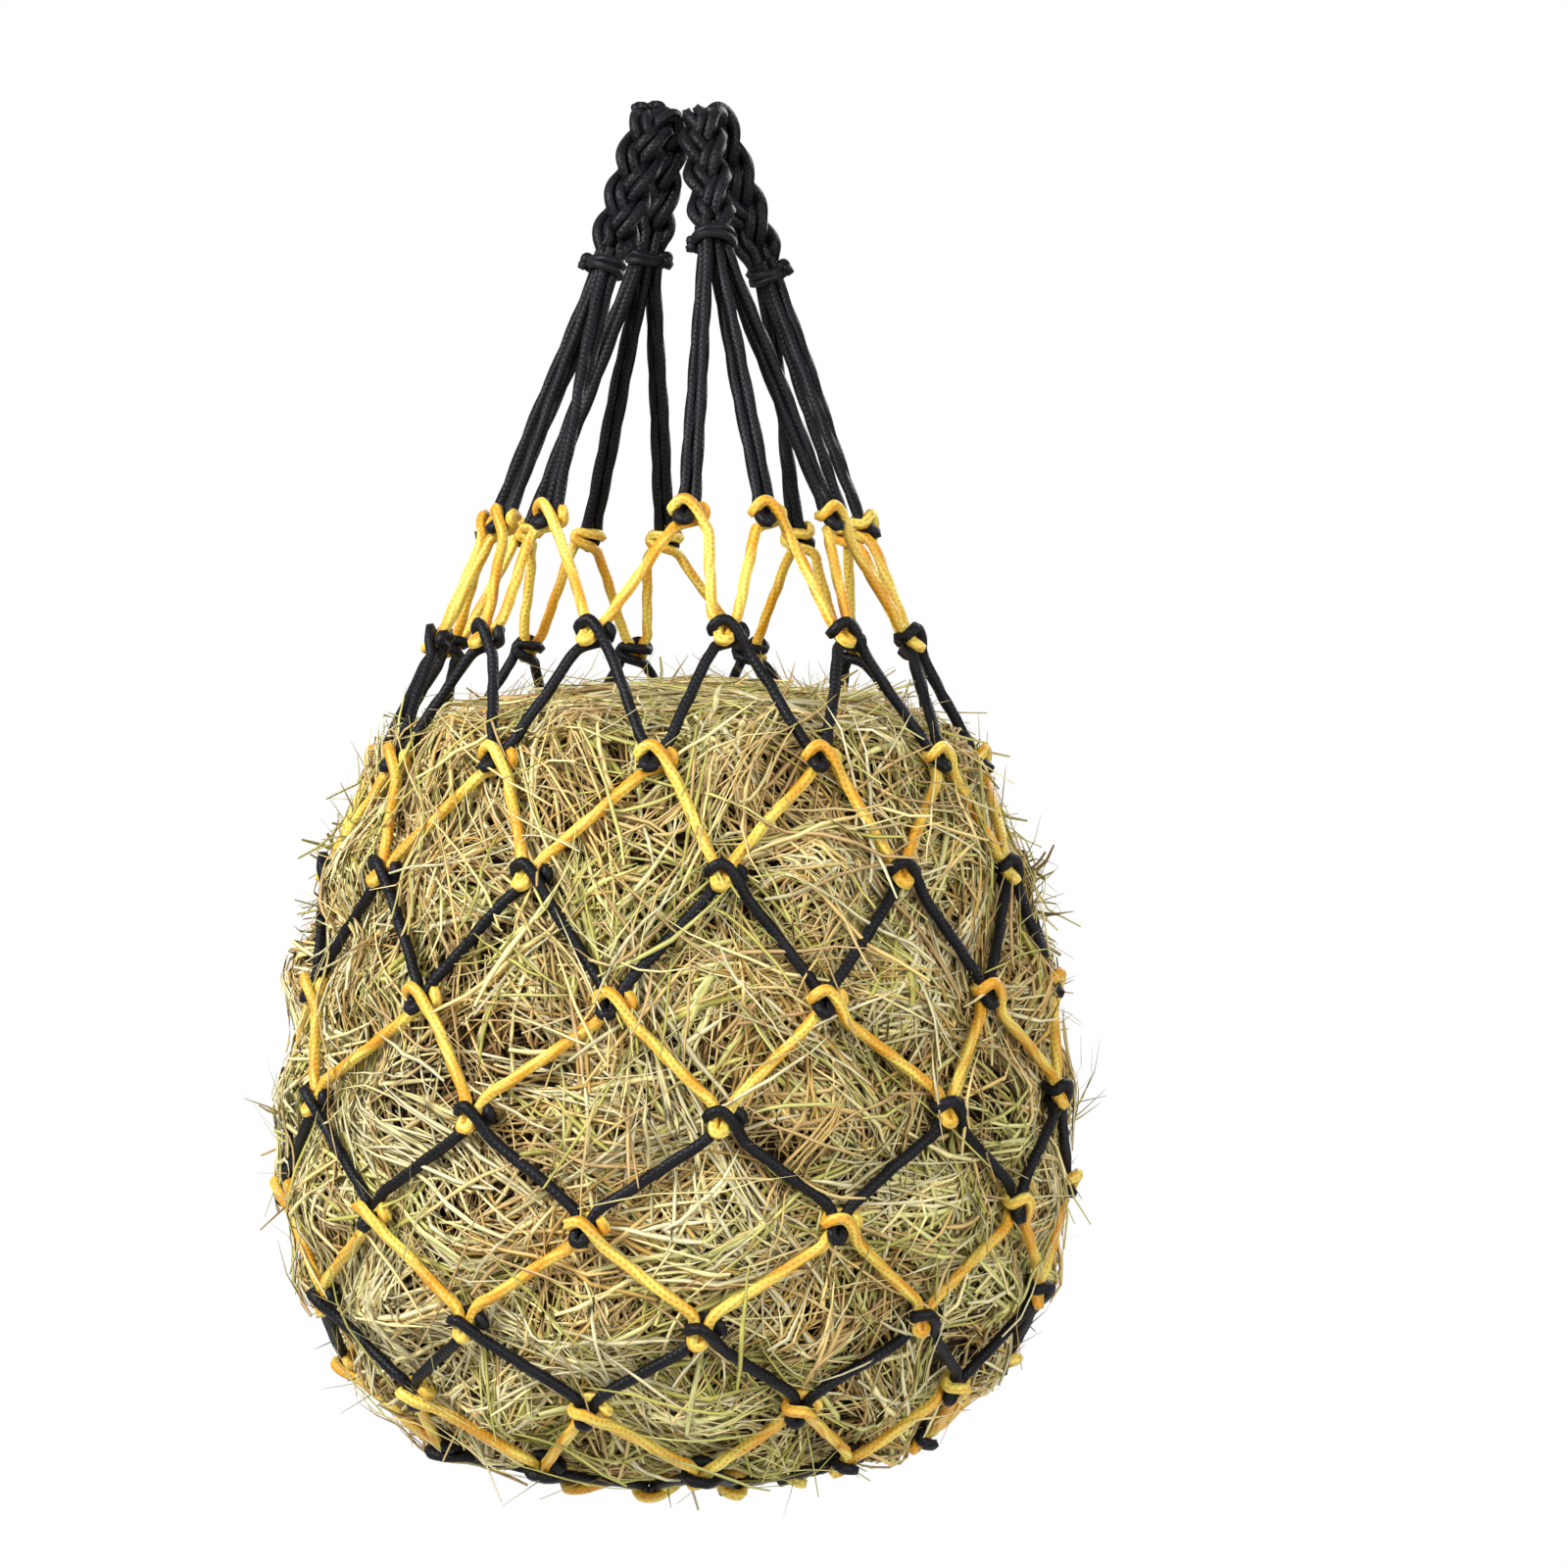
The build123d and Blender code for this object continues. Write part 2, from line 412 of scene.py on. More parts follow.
@dataclass(frozen=True)
class HayFinish:
    """Dry hay: every blade's map lies in one row of a table of tints.

    Attributes:
        name: of the material.
        rows: tints in the table.
        tints: where each tint starts in the table, and its colour.
        bright: least and greatest brightness of a row.
        blotch_scale: blotches along a blade.
        blotch: lowest brightness in a blotch, and how much the noise adds.
        vein_scale: veins along and across a blade.
        vein: the same for the veins.
        roughness: of the blades.
        gloss: strength of their reflection.
        relief: height of the veins.
    """

    name: str = "dry_hay"
    rows: int = 48
    tints: tuple[tuple[float, Tint], ...] = (
        (0.0, (0.56, 0.36, 0.10)),
        (0.08, (0.74, 0.52, 0.19)),
        (0.17, (0.62, 0.42, 0.18)),
        (0.25, (0.82, 0.62, 0.26)),
        (0.33, (0.88, 0.76, 0.36)),
        (0.42, (0.93, 0.84, 0.50)),
        (0.50, (0.54, 0.50, 0.12)),
        (0.58, (0.68, 0.64, 0.21)),
        (0.67, (0.78, 0.74, 0.31)),
        # the last three tints, used only by the sunk dark blades: partly the hay's own brown,
        # partly painted shade
        (0.75, (0.06, 0.032, 0.010)),
        (0.83, (0.15, 0.085, 0.030)),
        (0.92, (0.38, 0.22, 0.08)),
    )
    bright: Span = (0.72, 1.18)
    blotch_scale: float = 7.0
    blotch: Span = (0.55, 0.9)
    vein_scale: Span = (3.0, 9.0)
    vein: Span = (0.72, 0.55)
    roughness: float = 0.62
    gloss: float = 0.35
    relief: float = 0.0003

    def material(self) -> bpy.types.Material:
        """Build the material.

        Returns:
            The material.
        """
        s = Shader(self.name)
        rows = float(self.rows)
        along, around = s.uv()
        row = s.math("FLOOR", s.math("MULTIPLY", around, rows))
        place = s.math("DIVIDE", s.math("ADD", row, 0.5), rows)
        tint = s.ramp(place, self.tints, "CONSTANT")
        seed = s.add("TexWhiteNoise", {"W": row}, noise_dimensions="1D").outputs[0]
        value = s.rescale(seed, (0.0, 1.0), self.bright)
        patterns = (
            (self.blotch_scale, 1.0, 1.0, 4.0, self.blotch),
            (*self.vein_scale, 2.0, 2.0, self.vein),
        )
        for lengthwise, across, scale, detail, (low, gain) in patterns:
            spot = s.vector(
                s.math("MULTIPLY", along, lengthwise),
                s.math("MULTIPLY", around, rows * across),
                row,
            )
            grain = s.add("TexNoise", {"Vector": spot, "Scale": scale, "Detail": detail}).outputs[0]
            light = s.math("ADD", low, s.math("MULTIPLY", grain, gain))
            value = s.math("MULTIPLY", value, light)
        colour = s.mix(1.0, tint, s.vector(value, value, value), "MULTIPLY")
        s.feed(s.surface.inputs["Base Color"], colour)
        s.finish(self.roughness, self.gloss, grain, self.relief)
        return s.material


@dataclass(frozen=True)
class GapShadeFinish:
    """The inside of the hay that shows between the blades, near black: painted shade in the gaps.

    Attributes:
        name: the material's name.
        scale: of the noise.
        stops: noise and colour.
        roughness: of the surface.
        relief: height of the noise.
    """

    name: str = "hay_gap_shade"
    scale: float = 90.0
    # painted shade: near black to dark brown, for the shade in the gaps between the blades
    stops: tuple[tuple[float, Tint], ...] = (
        (0.3, (0.012, 0.007, 0.003)),
        (0.55, (0.05, 0.03, 0.012)),
        (0.75, (0.13, 0.085, 0.035)),
    )
    roughness: float = 0.9
    relief: float = 0.003

    def material(self) -> bpy.types.Material:
        """Build the material.

        Returns:
            The material.
        """
        s = Shader(self.name)
        noise_inputs = {
            "Vector": s.add("TexCoord").outputs["Object"],
            "Scale": self.scale,
            "Detail": 5.0,
            "Distortion": 1.5,
        }
        coarse = s.add("TexNoise", noise_inputs).outputs[0]
        s.feed(s.surface.inputs["Base Color"], s.ramp(coarse, self.stops))
        s.finish(self.roughness, 0.5, coarse, self.relief)
        return s.material


class Colour(Enum):
    """The two cords, named as the record's material slots."""

    BLACK = "black_cord"
    YELLOW = "yellow_cord"


# each cord: painted shade in its grooves, its own colour, and a painted highlight in patches
FINISHES = {
    Colour.BLACK: CordFinish(
        name="black_cord_braid",
        deep=(0.001, 0.001, 0.0015),
        face=(0.003, 0.003, 0.0045),
        highlight_tint=(0.008, 0.008, 0.012),
        roughness=0.44,
        sheen=0.01,
        gloss=0.22,
    ),
    Colour.YELLOW: CordFinish(
        name="yellow_cord_braid",
        deep=(0.48, 0.20, 0.006),
        face=(0.76, 0.35, 0.014),
        highlight_tint=(0.90, 0.73, 0.13),
        roughness=0.38,
        sheen=0.05,
        gloss=0.5,
    ),
}
HAY = HayFinish()
MATERIALS: dict[str, bpy.types.Material] = {}


# ---------------------------------------------------------------- shared making


def add_object(name: str, data: bpy.types.ID) -> bpy.types.Object:
    """A new object in the scene.

    Args:
        name: of the object.
        data: what it holds.

    Returns:
        The object.
    """
    made = bpy.data.objects.new(name, data)
    bpy.context.scene.collection.objects.link(made)
    return made


def add_section(name: str, corners: Sequence[Span]) -> bpy.types.Object:
    """Make a closed outline to sweep.

    Args:
        name: the outline's name.
        corners: its corners.

    Returns:
        The curve object.
    """
    curve = bpy.data.curves.new(name, "CURVE")
    curve.dimensions = "2D"
    spline = curve.splines.new("POLY")
    spline.points.add(len(corners) - 1)
    for point, corner in zip(spline.points, corners):
        point.co = (*corner, 0, 1)
    spline.use_cyclic_u = True
    return add_object(name, curve)


def start_sweep(name: str, section: bpy.types.Object) -> bpy.types.Curve:
    """A curve without routes that sweeps a section.

    Args:
        name: of the curve.
        section: what it sweeps.

    Returns:
        The curve.
    """
    curve = bpy.data.curves.new(name, "CURVE")
    curve.dimensions = "3D"
    curve.bevel_mode = "OBJECT"
    curve.bevel_object = section
    return curve


def finish_sweep(
    curve: bpy.types.Curve, section: bpy.types.Object, material: str
) -> bpy.types.Mesh:
    """Turn a curve into a mesh, its caps first and then ring after ring of each route.

    Args:
        curve: the routes, with the piece's name.
        section: what is swept; it is used up.
        material: name of the mesh's material.

    Returns:
        The mesh.
    """
    holder = add_object(curve.name + "_route", curve)
    shape = holder.evaluated_get(bpy.context.evaluated_depsgraph_get())
    mesh = bpy.data.meshes.new_from_object(shape)
    mesh.name = curve.name
    for helper in (holder, section):
        bpy.data.objects.remove(helper)
    mesh.materials.clear()
    mesh.materials.append(MATERIALS[material])
    return mesh


def keep_map(mesh: bpy.types.Mesh, values: np.ndarray) -> None:
    """Give a mesh one map, with a place for each of its corners.

    Args:
        mesh: the mesh.
        values: the places, two numbers for each corner.
    """
    while mesh.uv_layers:
        mesh.uv_layers.remove(mesh.uv_layers[0])
    mesh.uv_layers.new(name=UV_NAME).data.foreach_set("uv", values.ravel())


def corners_of(mesh: bpy.types.Mesh) -> np.ndarray:
    """Vertex of each corner of a mesh.

    Args:
        mesh: the mesh.

    Returns:
        The vertex numbers.
    """
    corner = np.empty(len(mesh.loops), int)
    mesh.loops.foreach_get("vertex_index", corner)
    return corner


def unwrap(number: np.ndarray, count: int) -> np.ndarray:
    """Let a face that closes a circle end on its count instead of on 0."""
    closes = number.max(axis=1, keepdims=True) == count - 1
    return np.where((number == 0) & closes, count, number)


def add_piece(name: str, mesh: bpy.types.Mesh) -> bpy.types.Object:
    """Put a finished mesh in the scene as a piece, and report it."""
    log.info("%s: %d faces", name, len(mesh.polygons))
    return add_object(name, mesh)


# ---------------------------------------------------------------- cord


@dataclass
class Cord:
    """A round cord swept along smooth routes, with the section of its twisted yarns.

    Attributes:
        radius: of the cord.
        lobes: bundles of yarn that show round the section.
        groove: depth of the groove between them, as a share of the radius.
        lay: length of one turn of the bundles.
        fineness: rings of the mesh for each point of a route.
        rock: how far the bundles turn to and fro in a closed cord, in radians.
        cap_map: middle and radius of a cut end's place in the map.
    """

    radius: float = 0.0035
    lobes: int = 5
    groove: float = 0.17
    lay: float = 0.060
    fineness: int = 4
    rock: float = 0.8
    cap_map: Span = (0.5, 0.01)

    def section(self) -> bpy.types.Object:
        """The lobed section, as a closed curve.

        Returns:
            The curve object.
        """
        count = 2 * self.lobes
        corners = []
        for i in range(count):
            reach = self.radius * (1 - (self.groove if i % 2 else 0))
            turn = -math.tau * i / count
            corners.append((reach * math.cos(turn), reach * math.sin(turn)))
        return add_section("cord_section", corners)

    def sweep(
        self, name: str, routes: Sequence[Sequence[Vector]], closed: bool, finish: CordFinish
    ) -> bpy.types.Object:
        """Sweep the cord along routes that all have as many points.

        Args:
            name: the piece's name.
            routes: the points that each cord follows.
            closed: whether each route runs back into its start.
            finish: the cord's finish.

        Returns:
            The piece, a mesh object at the origin.
        """
        section = self.section()
        curve = start_sweep(name, section)
        curve.use_fill_caps = not closed
        curve.resolution_u = self.fineness
        for route in routes:
            spline = curve.splines.new("NURBS")
            spline.points.add(len(route) - 1)
            run = [0.0]
            for here, there in zip(route, [*route[1:], route[0]]):
                run.append(run[-1] + (there - here).length)
            turns = round(run[-1] / self.lay) if closed else run[-1] / self.lay
            for point, place, length in zip(spline.points, route, run):
                turn = math.tau * turns * length / run[-1]
                point.co = (*place, 1)
                point.tilt = self.rock * math.sin(turn) if closed else turn
            spline.order_u = 3
            spline.use_cyclic_u = closed
            spline.use_endpoint_u = not closed
        mesh = finish_sweep(curve, section, finish.name)
        self.map(mesh, len(routes), closed, finish)
        mesh.polygons.foreach_set("use_smooth", [True] * len(mesh.polygons))
        return add_piece(name, mesh)

    def map(self, mesh: bpy.types.Mesh, cords: int, closed: bool, finish: CordFinish) -> None:
        """Lay the piece's map: tiles along the cord, and once round it.

        Args:
            mesh: the swept mesh, its caps first and then ring after ring of each cord.
            cords: how many cords it holds.
            closed: whether each cord runs back into its start.
            finish: the finish, which says how long a tile is.
        """
        around = 2 * self.lobes
        capped = 0 if closed else 2 * cords
        points = np.empty(len(mesh.vertices) * 3)
        mesh.vertices.foreach_get("co", points)
        points = points.reshape(-1, 3)[capped * around :].reshape(cords, -1, around, 3)
        rings = points.shape[1]
        centres = points.mean(axis=2)
        steps = np.linalg.norm(np.roll(centres, -1, axis=1) - centres, axis=2)
        length = np.concatenate([np.zeros((cords, 1)), np.cumsum(steps, axis=1)], axis=1)
        if closed:
            length *= np.round(length[:, -1:] / finish.tile) * finish.tile / length[:, -1:]
        first = capped * around
        corner = corners_of(mesh)
        quads = corner[first:].reshape(-1, 4) - first
        cord = quads // (around * rings)
        ring = unwrap((quads // around) % rings, rings)
        place = unwrap(quads % around, around)
        values = np.zeros((len(corner), 2))
        cap = (corner[:first] % around) * math.tau / around
        middle, radius = self.cap_map
        values[:first] = middle + radius * np.stack([np.cos(cap), np.sin(cap)], axis=1)
        values[first:, 0] = (length[cord, ring] / finish.tile).ravel()
        values[first:, 1] = (place / around).ravel()
        keep_map(mesh, values)


LEGS = ("front", "rear")
ROUND = 16  # points of a route that goes once round
CORD = Cord()
HANDLE_CORD = Cord(radius=0.0037, groove=0.24, lay=0.15, fineness=3)
PLAIT_CORD = Cord(radius=0.0039, groove=0.26, lay=0.15, fineness=3)
BINDING_CORD = Cord(radius=0.0029, groove=0.22, lay=0.10, fineness=3)


def noisy(point: Vector, size: float, seed: float, scale: float = 23) -> Vector:
    """The point, moved a little by smooth noise."""
    return point + noise.noise_vector(point * scale + Vector((seed, 0, 0))) * size


@dataclass(frozen=True)
class Knot:
    """Route of a netting knot in its own frame, in millimetres: X along the row, Y out, Z up.

    The lower cord comes up from the left, goes behind, round the upper cord's bight and over
    the front of it, and leaves to the right.  The bight of the upper cord shows below.

    Attributes:
        lower, upper: points of the two cords.
    """

    lower: tuple[tuple[float, float, float], ...] = (
        (-10.8, 0.6, -10.8),
        (-7.4, -0.8, -6.6),
        (-1.5, -4.4, -3.0),
        (6.0, -4.6, -0.8),
        (10.2, 0.6, 0.2),
        (8.6, 1.6, 5.4),
        (2.0, -5.4, 6.4),
        (-6.0, -4.0, 5.4),
        (-10.4, 1.2, 1.6),
        (-7.6, 6.8, 5.6),
        (-1.6, 8.4, 6.6),
        (3.8, 7.2, 0.6),
        (7.4, 3.4, -5.6),
        (11.0, 0.8, -11.2),
    )
    upper: tuple[tuple[float, float, float], ...] = (
        (-8.0, 0.2, 12.5),
        (-5.0, 0.4, 7.0),
        (-6.0, 1.6, 0.4),
        (-6.8, 5.4, -6.2),
        (-0.8, 5.4, -6.2),
        (0.2, 1.6, 0.4),
        (3.4, 0.4, 7.0),
        (7.0, 0.2, 12.5),
    )

    def collar(self, place: Matrix) -> list[Vector]:
        """Points of the lower cord through the knot at a place."""
        return [place @ (Vector(point) * MM) for point in self.lower]

    def bight(self, place: Matrix) -> list[Vector]:
        """Points of the upper cord round the knot at a place."""
        return [place @ (Vector(point) * MM) for point in self.upper]


KNOT = Knot()


@dataclass
class Tier:
    """One round of the mesh: a single cord, knotted to the round above.

    Attributes:
        row: the row of knots that the cord is tied in.
        sway: how far its straight stretches wander.
        leads: points between two knots.
        closing: turn in degrees, radius and height in millimetres of each point where the
            last round passes over the closing cord.
    """

    row: int
    sway: float = 0.0012
    leads: int = 6
    closing: tuple[tuple[float, float, float], ...] = (
        (-5, 42, 2),
        (-6, 25, 6),
        (-5, 18, 0),
        (5, 18, 0),
        (6, 25, 6),
        (5, 42, 2),
    )

    @property
    def colour(self) -> Colour:
        """The cords alternate from row to row."""
        return Colour.YELLOW if self.row % 2 else Colour.BLACK

    def bar(self, start: Vector, end: Vector) -> list[Vector]:
        """Points of the straight stretch between two knots, ends left out."""
        shares = [(i + 1) / (self.leads + 1) for i in range(self.leads)]
        return [noisy(start.lerp(end, share), self.sway, self.row) for share in shares]

    def route(self) -> list[Vector]:
        """Points of the whole round.

        Returns:
            The points.
        """
        route: list[Vector] = []
        last_row = self.row == len(NET.rows)
        for index in range(NET.knots):
            collar = KNOT.collar(NET.place(self.row, index))
            if last_row:
                bight = self.closing_bight(index)
            else:
                bight = KNOT.bight(NET.place(self.row + 1, NET.below(self.row, index, 1)))
            following = KNOT.collar(NET.place(self.row, index + 1))
            route += collar + self.bar(collar[-1], bight[0])
            route += bight + self.bar(bight[-1], following[0])
        return route

    def closing_bight(self, index: int) -> list[Vector]:
        """Points where the last round passes over the closing cord, between two knots.

        Args:
            index: the knot before the bight.

        Returns:
            The points.
        """
        between = NET.step * (index + 1) + NET.rows[-1][2]
        return [
            NET.on_ring(radius * MM, between + turn, NET.closing_height + height * MM)
            for turn, radius, height in self.closing
        ]

    def build(self) -> bpy.types.Object:
        """Make the round's piece.

        Returns:
            The piece.
        """
        finish = FINISHES[self.colour]
        piece = CORD.sweep(f"mesh_cord_{self.row:02}", [self.route()], True, finish)
        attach(piece, "bag")
        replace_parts(piece, f"row_{self.row:02}_knots", f"tier_{self.row:02}_cord")
        return piece


@dataclass
class ClosingCord:
    """The cord that draws the last meshes together under the net."""

    def build(self) -> bpy.types.Object:
        """Make the piece.

        Returns:
            The piece.
        """
        route = [
            NET.on_ring(NET.closing_radius, 360 * i / ROUND, NET.closing_height)
            for i in range(ROUND)
        ]
        piece = CORD.sweep("closing_cord_ring", [route], True, FINISHES[Colour.BLACK])
        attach(piece, "bag")
        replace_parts(piece, "closing_cord")
        return piece


# ---------------------------------------------------------------- handles


@dataclass
class Handle:
    """A plaited loop over the hook, its two bindings and its drop cords.

    Lengths are in metres.  The middle line is an arc over the hook and two tangents.

    Attributes:
        side: left or right.
        crown_x: X of the arch's top.
        foot_x: X of the bindings.
        reach: Y of the bindings, front and rear.
        slip: how far the plait has run over the hook toward the rear.
        legs: first-row knots of the front and the rear leg, in order round the net.
        tied: whether the ends of its plait are knotted on top of it.
        apex, foot_z: heights of the arch's top and of the bindings.
        arch: radius of the arch.
        swing, lift: reach of a strand's middle across the plait and through it.
        beside: half the distance between a strand's two cords.
        bundle: distance of a strand from the middle of a bound leg.
        bundle_run, end_run: length over which the plait closes up, and of the bound end.
        plait_steps: length of the plait, in twelfths of a full turn of its strands.
        drop_straight: how far the drop cords run on straight from a leg, up and down.
        drop_shares: places of their further points on the way to a knot.
        drop_fan: distance between two drop cords in a binding.
        drop_beside: half the distance between the two cords of one.
        drop_sway: how far they wander.
        ring: half width, half depth and half rise of the two turns of a binding.
        ring_knot: distance of its knot from the leg's middle, and the knot's size.
        ties: run, width and thickness of the knots on top of the plait.
        tie_size: their size.
    """

    side: str
    crown_x: float
    foot_x: float
    reach: float
    slip: float
    legs: tuple[tuple[int, ...], tuple[int, ...]]
    tied: bool
    apex: float = 0.0170
    foot_z: float = -0.070
    arch: float = 0.0185
    swing: float = 0.0080
    lift: float = 0.0046
    beside: float = 0.0034
    bundle: float = 0.0056
    bundle_run: float = 0.009
    end_run: float = 0.006
    plait_steps: int = 28
    drop_straight: float = 0.010
    drop_shares: tuple[float, ...] = (0.2, 0.35, 0.5, 0.65, 0.8, 0.92)
    drop_fan: float = 0.0066
    drop_beside: float = 0.0031
    drop_sway: float = 0.0012
    ring: Tint = (0.0118, 0.0098, 0.0028)
    ring_knot: Span = (0.0122, 0.0026)
    ties: tuple[Tint, ...] = ((-0.005, 0.0118, 0.0030), (0.003, 0.0060, 0.0062))
    tie_size: float = 0.0026

    def __post_init__(self) -> None:
        """Work out the loop's plane."""
        self.centre = Vector((self.crown_x, 0, self.apex))
        fall = Vector((self.foot_x - self.crown_x, 0, self.foot_z - self.apex))
        self.down = fall.normalized()
        self.width = Vector((0, 1, 0)).cross(self.down).normalized()
        below = fall.length - self.arch
        slant = math.hypot(self.reach, below)
        self.bend = math.pi - math.atan2(self.reach, below) - math.acos(self.arch / slant)
        self.half = self.arch * self.bend + math.sqrt(slant**2 - self.arch**2)

    def at(self, run: float, wide: float, thick: float) -> Vector:
        """Point beside the middle line.

        Args:
            run: along the plait from its middle, negative to the front.
            wide: across the plait.
            thick: out of the loop.

        Returns:
            The point.
        """
        run += self.slip
        sign = 1 if run > 0 else -1
        angle = sign * min(abs(run) / self.arch, self.bend)
        rest = max(abs(run) - self.arch * self.bend, 0)
        across = self.arch * math.sin(angle) + sign * rest * math.cos(self.bend)
        fall = self.arch * (1 - math.cos(angle)) + rest * math.sin(self.bend)
        outward = Vector((0, 1, 0)) * math.sin(angle) - self.down * math.cos(angle)
        line = self.centre + Vector((0, across, 0)) + self.down * fall
        return line + self.width * wide + outward * thick

    def strand(self, number: int, cord: int) -> list[Vector]:
        """Points of one cord of a plait strand.

        Args:
            number: the strand, 0 to 2.
            cord: -1 or 1, the cord's side of its strand.

        Returns:
            The points, from the front leg's foot to the rear one's.
        """
        plaited = self.half - self.bundle_run - self.end_run
        pace = math.radians(30) * self.plait_steps / (2 * plaited)
        points = []
        samples = self.plait_steps * 2
        start = math.radians(30 + 120 * number)
        for run in (-self.half, self.end_run - self.half):
            points.append(self.bound(run, start, cord))
        for i in range(samples + 1):
            share = i / samples
            run = plaited * (2 * share - 1)
            phase = start + pace * plaited * 2 * share
            slope = self.swing * math.cos(phase) * pace
            across = 1 / math.hypot(1, slope)
            points.append(
                self.at(
                    run - cord * self.beside * slope * across,
                    self.swing * math.sin(phase) + cord * self.beside * across,
                    self.lift * math.sin(2 * phase),
                )
            )
        for run in (self.half - self.end_run, self.half):
            points.append(self.bound(run, start + pace * plaited * 2, cord))
        return points

    def bound(self, run: float, phase: float, cord: int) -> Vector:
        """Place of a strand's cord inside a binding.

        Args:
            run: along the plait from its middle.
            phase: of the strand in the plait.
            cord: -1 or 1, the cord's side of its strand.

        Returns:
            The point.
        """
        wide, thick = self.bundle * math.sin(phase), self.bundle * math.sin(2 * phase)
        turn = Vector((wide, thick)).normalized() * self.beside * 0.8 * cord
        return self.at(run, wide - turn.y, thick + turn.x)

    def foot(self, leg: int) -> tuple[Vector, Vector]:
        """Find where a leg ends.

        Args:
            leg: 0 in front and 1 behind.

        Returns:
            The end, and the unit vector along the leg.
        """
        sign = 1 if leg else -1
        end = self.at(sign * self.half, 0, 0)
        return end, (end - self.at(sign * (self.half - MM), 0, 0)).normalized()

    def build_plait(self) -> None:
        """Make the three strands."""
        for number in range(3):
            routes = [self.strand(number, cord) for cord in (-1, 1)]
            piece = self.finish(f"{self.side}_plait_{number + 1}", routes, False, PLAIT_CORD)
            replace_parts(piece, f"{self.side}_plait_strand_{number + 1}")

    def spread(self, leg: int) -> tuple[Vector, Vector]:
        """Find the directions across a leg.

        Args:
            leg: 0 in front and 1 behind.

        Returns:
            Unit vectors along the fan of its drop cords, and square to it.
        """
        _, heading = self.foot(leg)
        knots = self.legs[leg]
        fan = NET.place(1, knots[-1]).translation - NET.place(1, knots[0]).translation
        fan = (fan - heading * fan.dot(heading)).normalized()
        return fan, heading.cross(fan).normalized()

    def lump(self, middle: Vector, first: Vector, second: Vector, size: float) -> list[Vector]:
        """Route of a small overhand knot, a trefoil.

        Args:
            middle: of the knot.
            first: unit vector in its plane.
            second: unit vector in its plane, square to the first.
            size: of the knot.

        Returns:
            The points of its closed route.
        """
        third = first.cross(second)
        points = []
        for i in range(ROUND):
            turn = math.tau * i / ROUND
            across = (math.sin(turn) + 2 * math.sin(2 * turn)) * 0.5
            rise = (math.cos(turn) - 2 * math.cos(2 * turn)) * 0.5
            place = first * across + second * rise - third * math.sin(3 * turn)
            points.append(middle + place * size)
        return points

    def build_binding(self, leg: int) -> None:
        """Make the cord wound twice round a leg, with its knot at the side.

        Args:
            leg: 0 in front and 1 behind.
        """
        foot, heading = self.foot(leg)
        fan, square = self.spread(leg)
        out = Vector((1 if leg else -1, 0, 0))
        out = (out - heading * out.dot(heading)).normalized()
        crossing = math.atan2(out.dot(square), out.dot(fan))
        wide, deep, rise = self.ring
        ring = []
        for i in range(2 * ROUND):
            turn = math.tau * i / ROUND
            angle = crossing + math.pi + turn
            round_leg = fan * math.cos(angle) * wide + square * math.sin(angle) * deep
            ring.append(foot + round_leg + heading * math.cos(turn / 2) * rise)
        away, size = self.ring_knot
        knot = self.lump(foot + out * away, out, heading, size)
        name = f"{self.side}_{LEGS[leg]}_binding"
        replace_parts(self.finish(name + "_cord", [ring, knot], True, BINDING_CORD), name)

    def build_ties(self) -> None:
        """Make the two small knots that finish the plait, on top of the loop."""
        routes = []
        for run, wide, thick in self.ties:
            middle = self.at(run - self.slip, wide, thick)
            routes.append(self.lump(middle, self.width, -self.down, self.tie_size))
        self.finish(f"{self.side}_tie_knots", routes, True, BINDING_CORD)

    def finish(
        self, name: str, routes: list[list[Vector]], closed: bool, cord: Cord
    ) -> bpy.types.Object:
        """Make a black piece that rides on the handle.

        Args:
            name: the piece's name.
            routes: what its cords follow.
            closed: whether each route runs back into its start.
            cord: the cord.

        Returns:
            The piece.
        """
        piece = cord.sweep(name, routes, closed, FINISHES[Colour.BLACK])
        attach(piece, f"{self.side}_handle")
        return piece

    def build_drops(self, leg: int) -> None:
        """Make the three doubled cords from a binding to the first row of knots.

        Args:
            leg: 0 in front and 1 behind.
        """
        foot, heading = self.foot(leg)
        knots = self.legs[leg]
        fan, outward = self.spread(leg)
        routes = []
        for place, knot in enumerate(knots):
            frame_at = NET.place(1, knot)
            bight = KNOT.bight(frame_at)
            start = foot + fan * (place - 1) * self.drop_fan
            bend = start + heading * self.drop_straight
            along_row = frame_at.to_3x3() @ Vector((1, 0, 0))
            flip = 1 if along_row.dot(fan) > 0 else -1
            cords = []
            for sign in (-1, 1):
                top = start + outward * self.drop_beside * sign * flip
                points = [
                    top - heading * self.drop_straight,
                    top,
                    top + heading * self.drop_straight,
                ]
                for share in self.drop_shares:
                    aside = (along_row * share + outward * (1 - share) * flip).normalized()
                    middle = bend.lerp(frame_at.translation, share)
                    point = middle + aside * self.drop_beside * sign
                    points.append(noisy(point, self.drop_sway, place + leg * 5))
                cords.append(points)
            routes.append([*cords[0], *bight[1:-1], *reversed(cords[1])])
        name = f"{self.side}_{LEGS[leg]}"
        piece = HANDLE_CORD.sweep(name + "_drops", routes, False, FINISHES[Colour.BLACK])
        low = sum((NET.place(1, knot).translation for knot in knots), Vector()) / len(knots)
        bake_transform(piece)
        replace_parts(piece, name + "_drop_cords")

    def build(self) -> None:
        """Make every piece of the handle."""
        self.build_plait()
        if self.tied:
            self.build_ties()
        for leg in (0, 1):
            self.build_binding(leg)
            self.build_drops(leg)


# ---------------------------------------------------------------- hay


def unit_of(vectors: np.ndarray) -> np.ndarray:
    """The vectors, brought to length 1."""
    return vectors / np.linalg.norm(vectors, axis=-1, keepdims=True)


